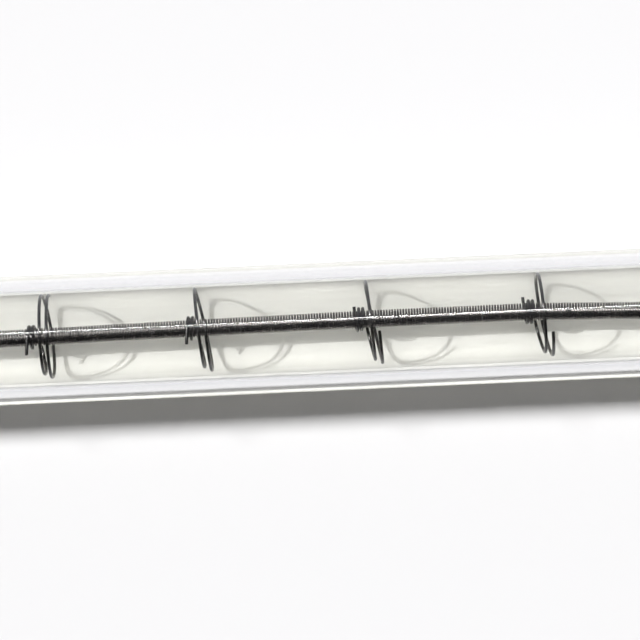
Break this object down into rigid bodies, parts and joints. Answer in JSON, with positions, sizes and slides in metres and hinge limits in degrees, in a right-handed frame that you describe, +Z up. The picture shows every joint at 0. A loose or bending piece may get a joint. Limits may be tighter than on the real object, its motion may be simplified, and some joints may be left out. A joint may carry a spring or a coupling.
{
  "type": "quartz infrared heating tube",
  "caption": "Clear quartz tube with an ivory reflector along its back, a tungsten coil on wire supports inside, and ceramic end caps with recessed contacts, for radiant heating.",
  "frame": {"origin": "under the middle of the lamp, on the surface that the two caps rest on", "axes": "+X along the tube, +Z up, out of the clear side, with the reflector below"},
  "size_m": [0.1176, 0.011, 0.0124],
  "materials": {
    "quartz": "clear polished fused quartz",
    "reflector": "matte ivory fired ceramic",
    "tungsten": "drawn tungsten wire, fine coil",
    "support_wire": "drawn tungsten wire, bright",
    "molybdenum": "drawn molybdenum",
    "ceramic": "matte off-white pressed ceramic",
    "cement": "rough set cement",
    "contact": "nickel"
  },
  "bodies": {
    "root": {"quartz_tube": "quartz", "reflector_coating": "reflector", "filament": "tungsten", "support_1": "support_wire", "support_2": "support_wire", "support_3": "support_wire", "support_4": "support_wire", "inner_lead_left": "molybdenum", "inner_lead_right": "molybdenum", "seal_foil_left": "molybdenum", "seal_foil_right": "molybdenum", "outer_lead_left": "molybdenum", "outer_lead_right": "molybdenum", "ceramic_cap_left": "ceramic", "ceramic_cap_right": "ceramic", "cap_cement_left": "cement", "cap_cement_right": "cement", "contact_left": "contact", "contact_right": "contact"}
  },
  "joints": []
}
